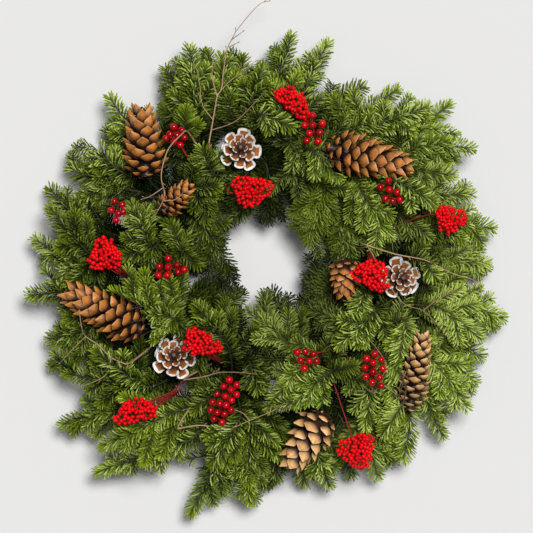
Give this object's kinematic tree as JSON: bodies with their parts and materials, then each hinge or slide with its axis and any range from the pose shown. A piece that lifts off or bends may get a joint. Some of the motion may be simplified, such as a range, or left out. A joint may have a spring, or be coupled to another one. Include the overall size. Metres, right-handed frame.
{
  "type": "evergreen wreath",
  "caption": "Round wreath of fir tips held on a wire clamp ring, dressed with pine cones, frosted cones, glossy and small red berries and bare twigs, open in the middle.",
  "frame": {"origin": "middle of the outline, with its longest twig, in the plane of the wreath's flat back", "axes": "+Z from the flat back through the hole to the dressed face; +Y towards the top of the wreath as it hangs, the way the longest twig points; +X to the right of someone facing it"},
  "size_m": [0.6005, 0.6457, 0.1248],
  "materials": {
    "fir_needles": "waxy dark green needles, paler grey-green beneath, on thin olive stems",
    "clamp_wire": "dark green enamelled wire",
    "cone_scales": "dry woody scales, orange-brown with cream lips",
    "frosted_scales": "dry brown scales with chalky white tips",
    "glossy_berry": "taut shiny deep red skin",
    "pepperberry": "satin bright red skin",
    "twig_bark": "dry matt grey-tan bark"
  },
  "bodies": {
    "root": {"fir_bunch_face_10": "fir_needles", "fir_bunch_face_12": "fir_needles", "fir_bunch_face_14": "fir_needles", "fir_bunch_face_16": "fir_needles", "fir_bunch_face_2": "fir_needles", "fir_bunch_face_4": "fir_needles", "fir_bunch_face_5": "fir_needles", "fir_bunch_face_7": "fir_needles", "fir_bunch_face_8": "fir_needles", "fir_bunch_rim_1": "fir_needles", "fir_bunch_rim_10": "fir_needles", "fir_bunch_rim_11": "fir_needles", "fir_bunch_rim_12": "fir_needles", "fir_bunch_rim_13": "fir_needles", "fir_bunch_rim_14": "fir_needles", "fir_bunch_rim_15": "fir_needles", "fir_bunch_rim_16": "fir_needles", "fir_bunch_rim_2": "fir_needles", "fir_bunch_rim_3": "fir_needles", "fir_bunch_rim_4": "fir_needles", "fir_bunch_rim_5": "fir_needles", "fir_bunch_rim_6": "fir_needles", "fir_bunch_rim_7": "fir_needles", "fir_bunch_rim_8": "fir_needles", "fir_bunch_rim_9": "fir_needles", "frosted_cone_lower_left": "frosted_scales", "frosted_cone_right": "frosted_scales", "frosted_cone_top": "frosted_scales", "glossy_berries_bottom": "glossy_berry", "glossy_berries_inner_left": "glossy_berry", "glossy_berries_left": "glossy_berry", "glossy_berries_lower": "glossy_berry", "glossy_berries_lower_right": "glossy_berry", "glossy_berries_right": "glossy_berry", "glossy_berries_top": "glossy_berry", "glossy_berries_upper_left": "glossy_berry", "pepperberries_bottom": "pepperberry", "pepperberries_inner_left": "pepperberry", "pepperberries_inner_right": "pepperberry", "pepperberries_inner_top": "pepperberry", "pepperberries_left": "pepperberry", "pepperberries_lower_left": "pepperberry", "pepperberries_right": "pepperberry", "pepperberries_top": "pepperberry", "pine_cone_bottom": "cone_scales", "pine_cone_centre_right": "cone_scales", "pine_cone_lower_left": "cone_scales", "pine_cone_lower_right": "cone_scales", "pine_cone_small_left": "cone_scales", "pine_cone_top_right": "cone_scales", "pine_cone_upper_left": "cone_scales", "ring": "clamp_wire", "twig_bottom": "twig_bark", "twig_left": "twig_bark", "twig_lower": "twig_bark", "twig_lower_right": "twig_bark", "twig_right": "twig_bark", "twig_top": "twig_bark", "twig_upper_left": "twig_bark"}
  },
  "joints": []
}
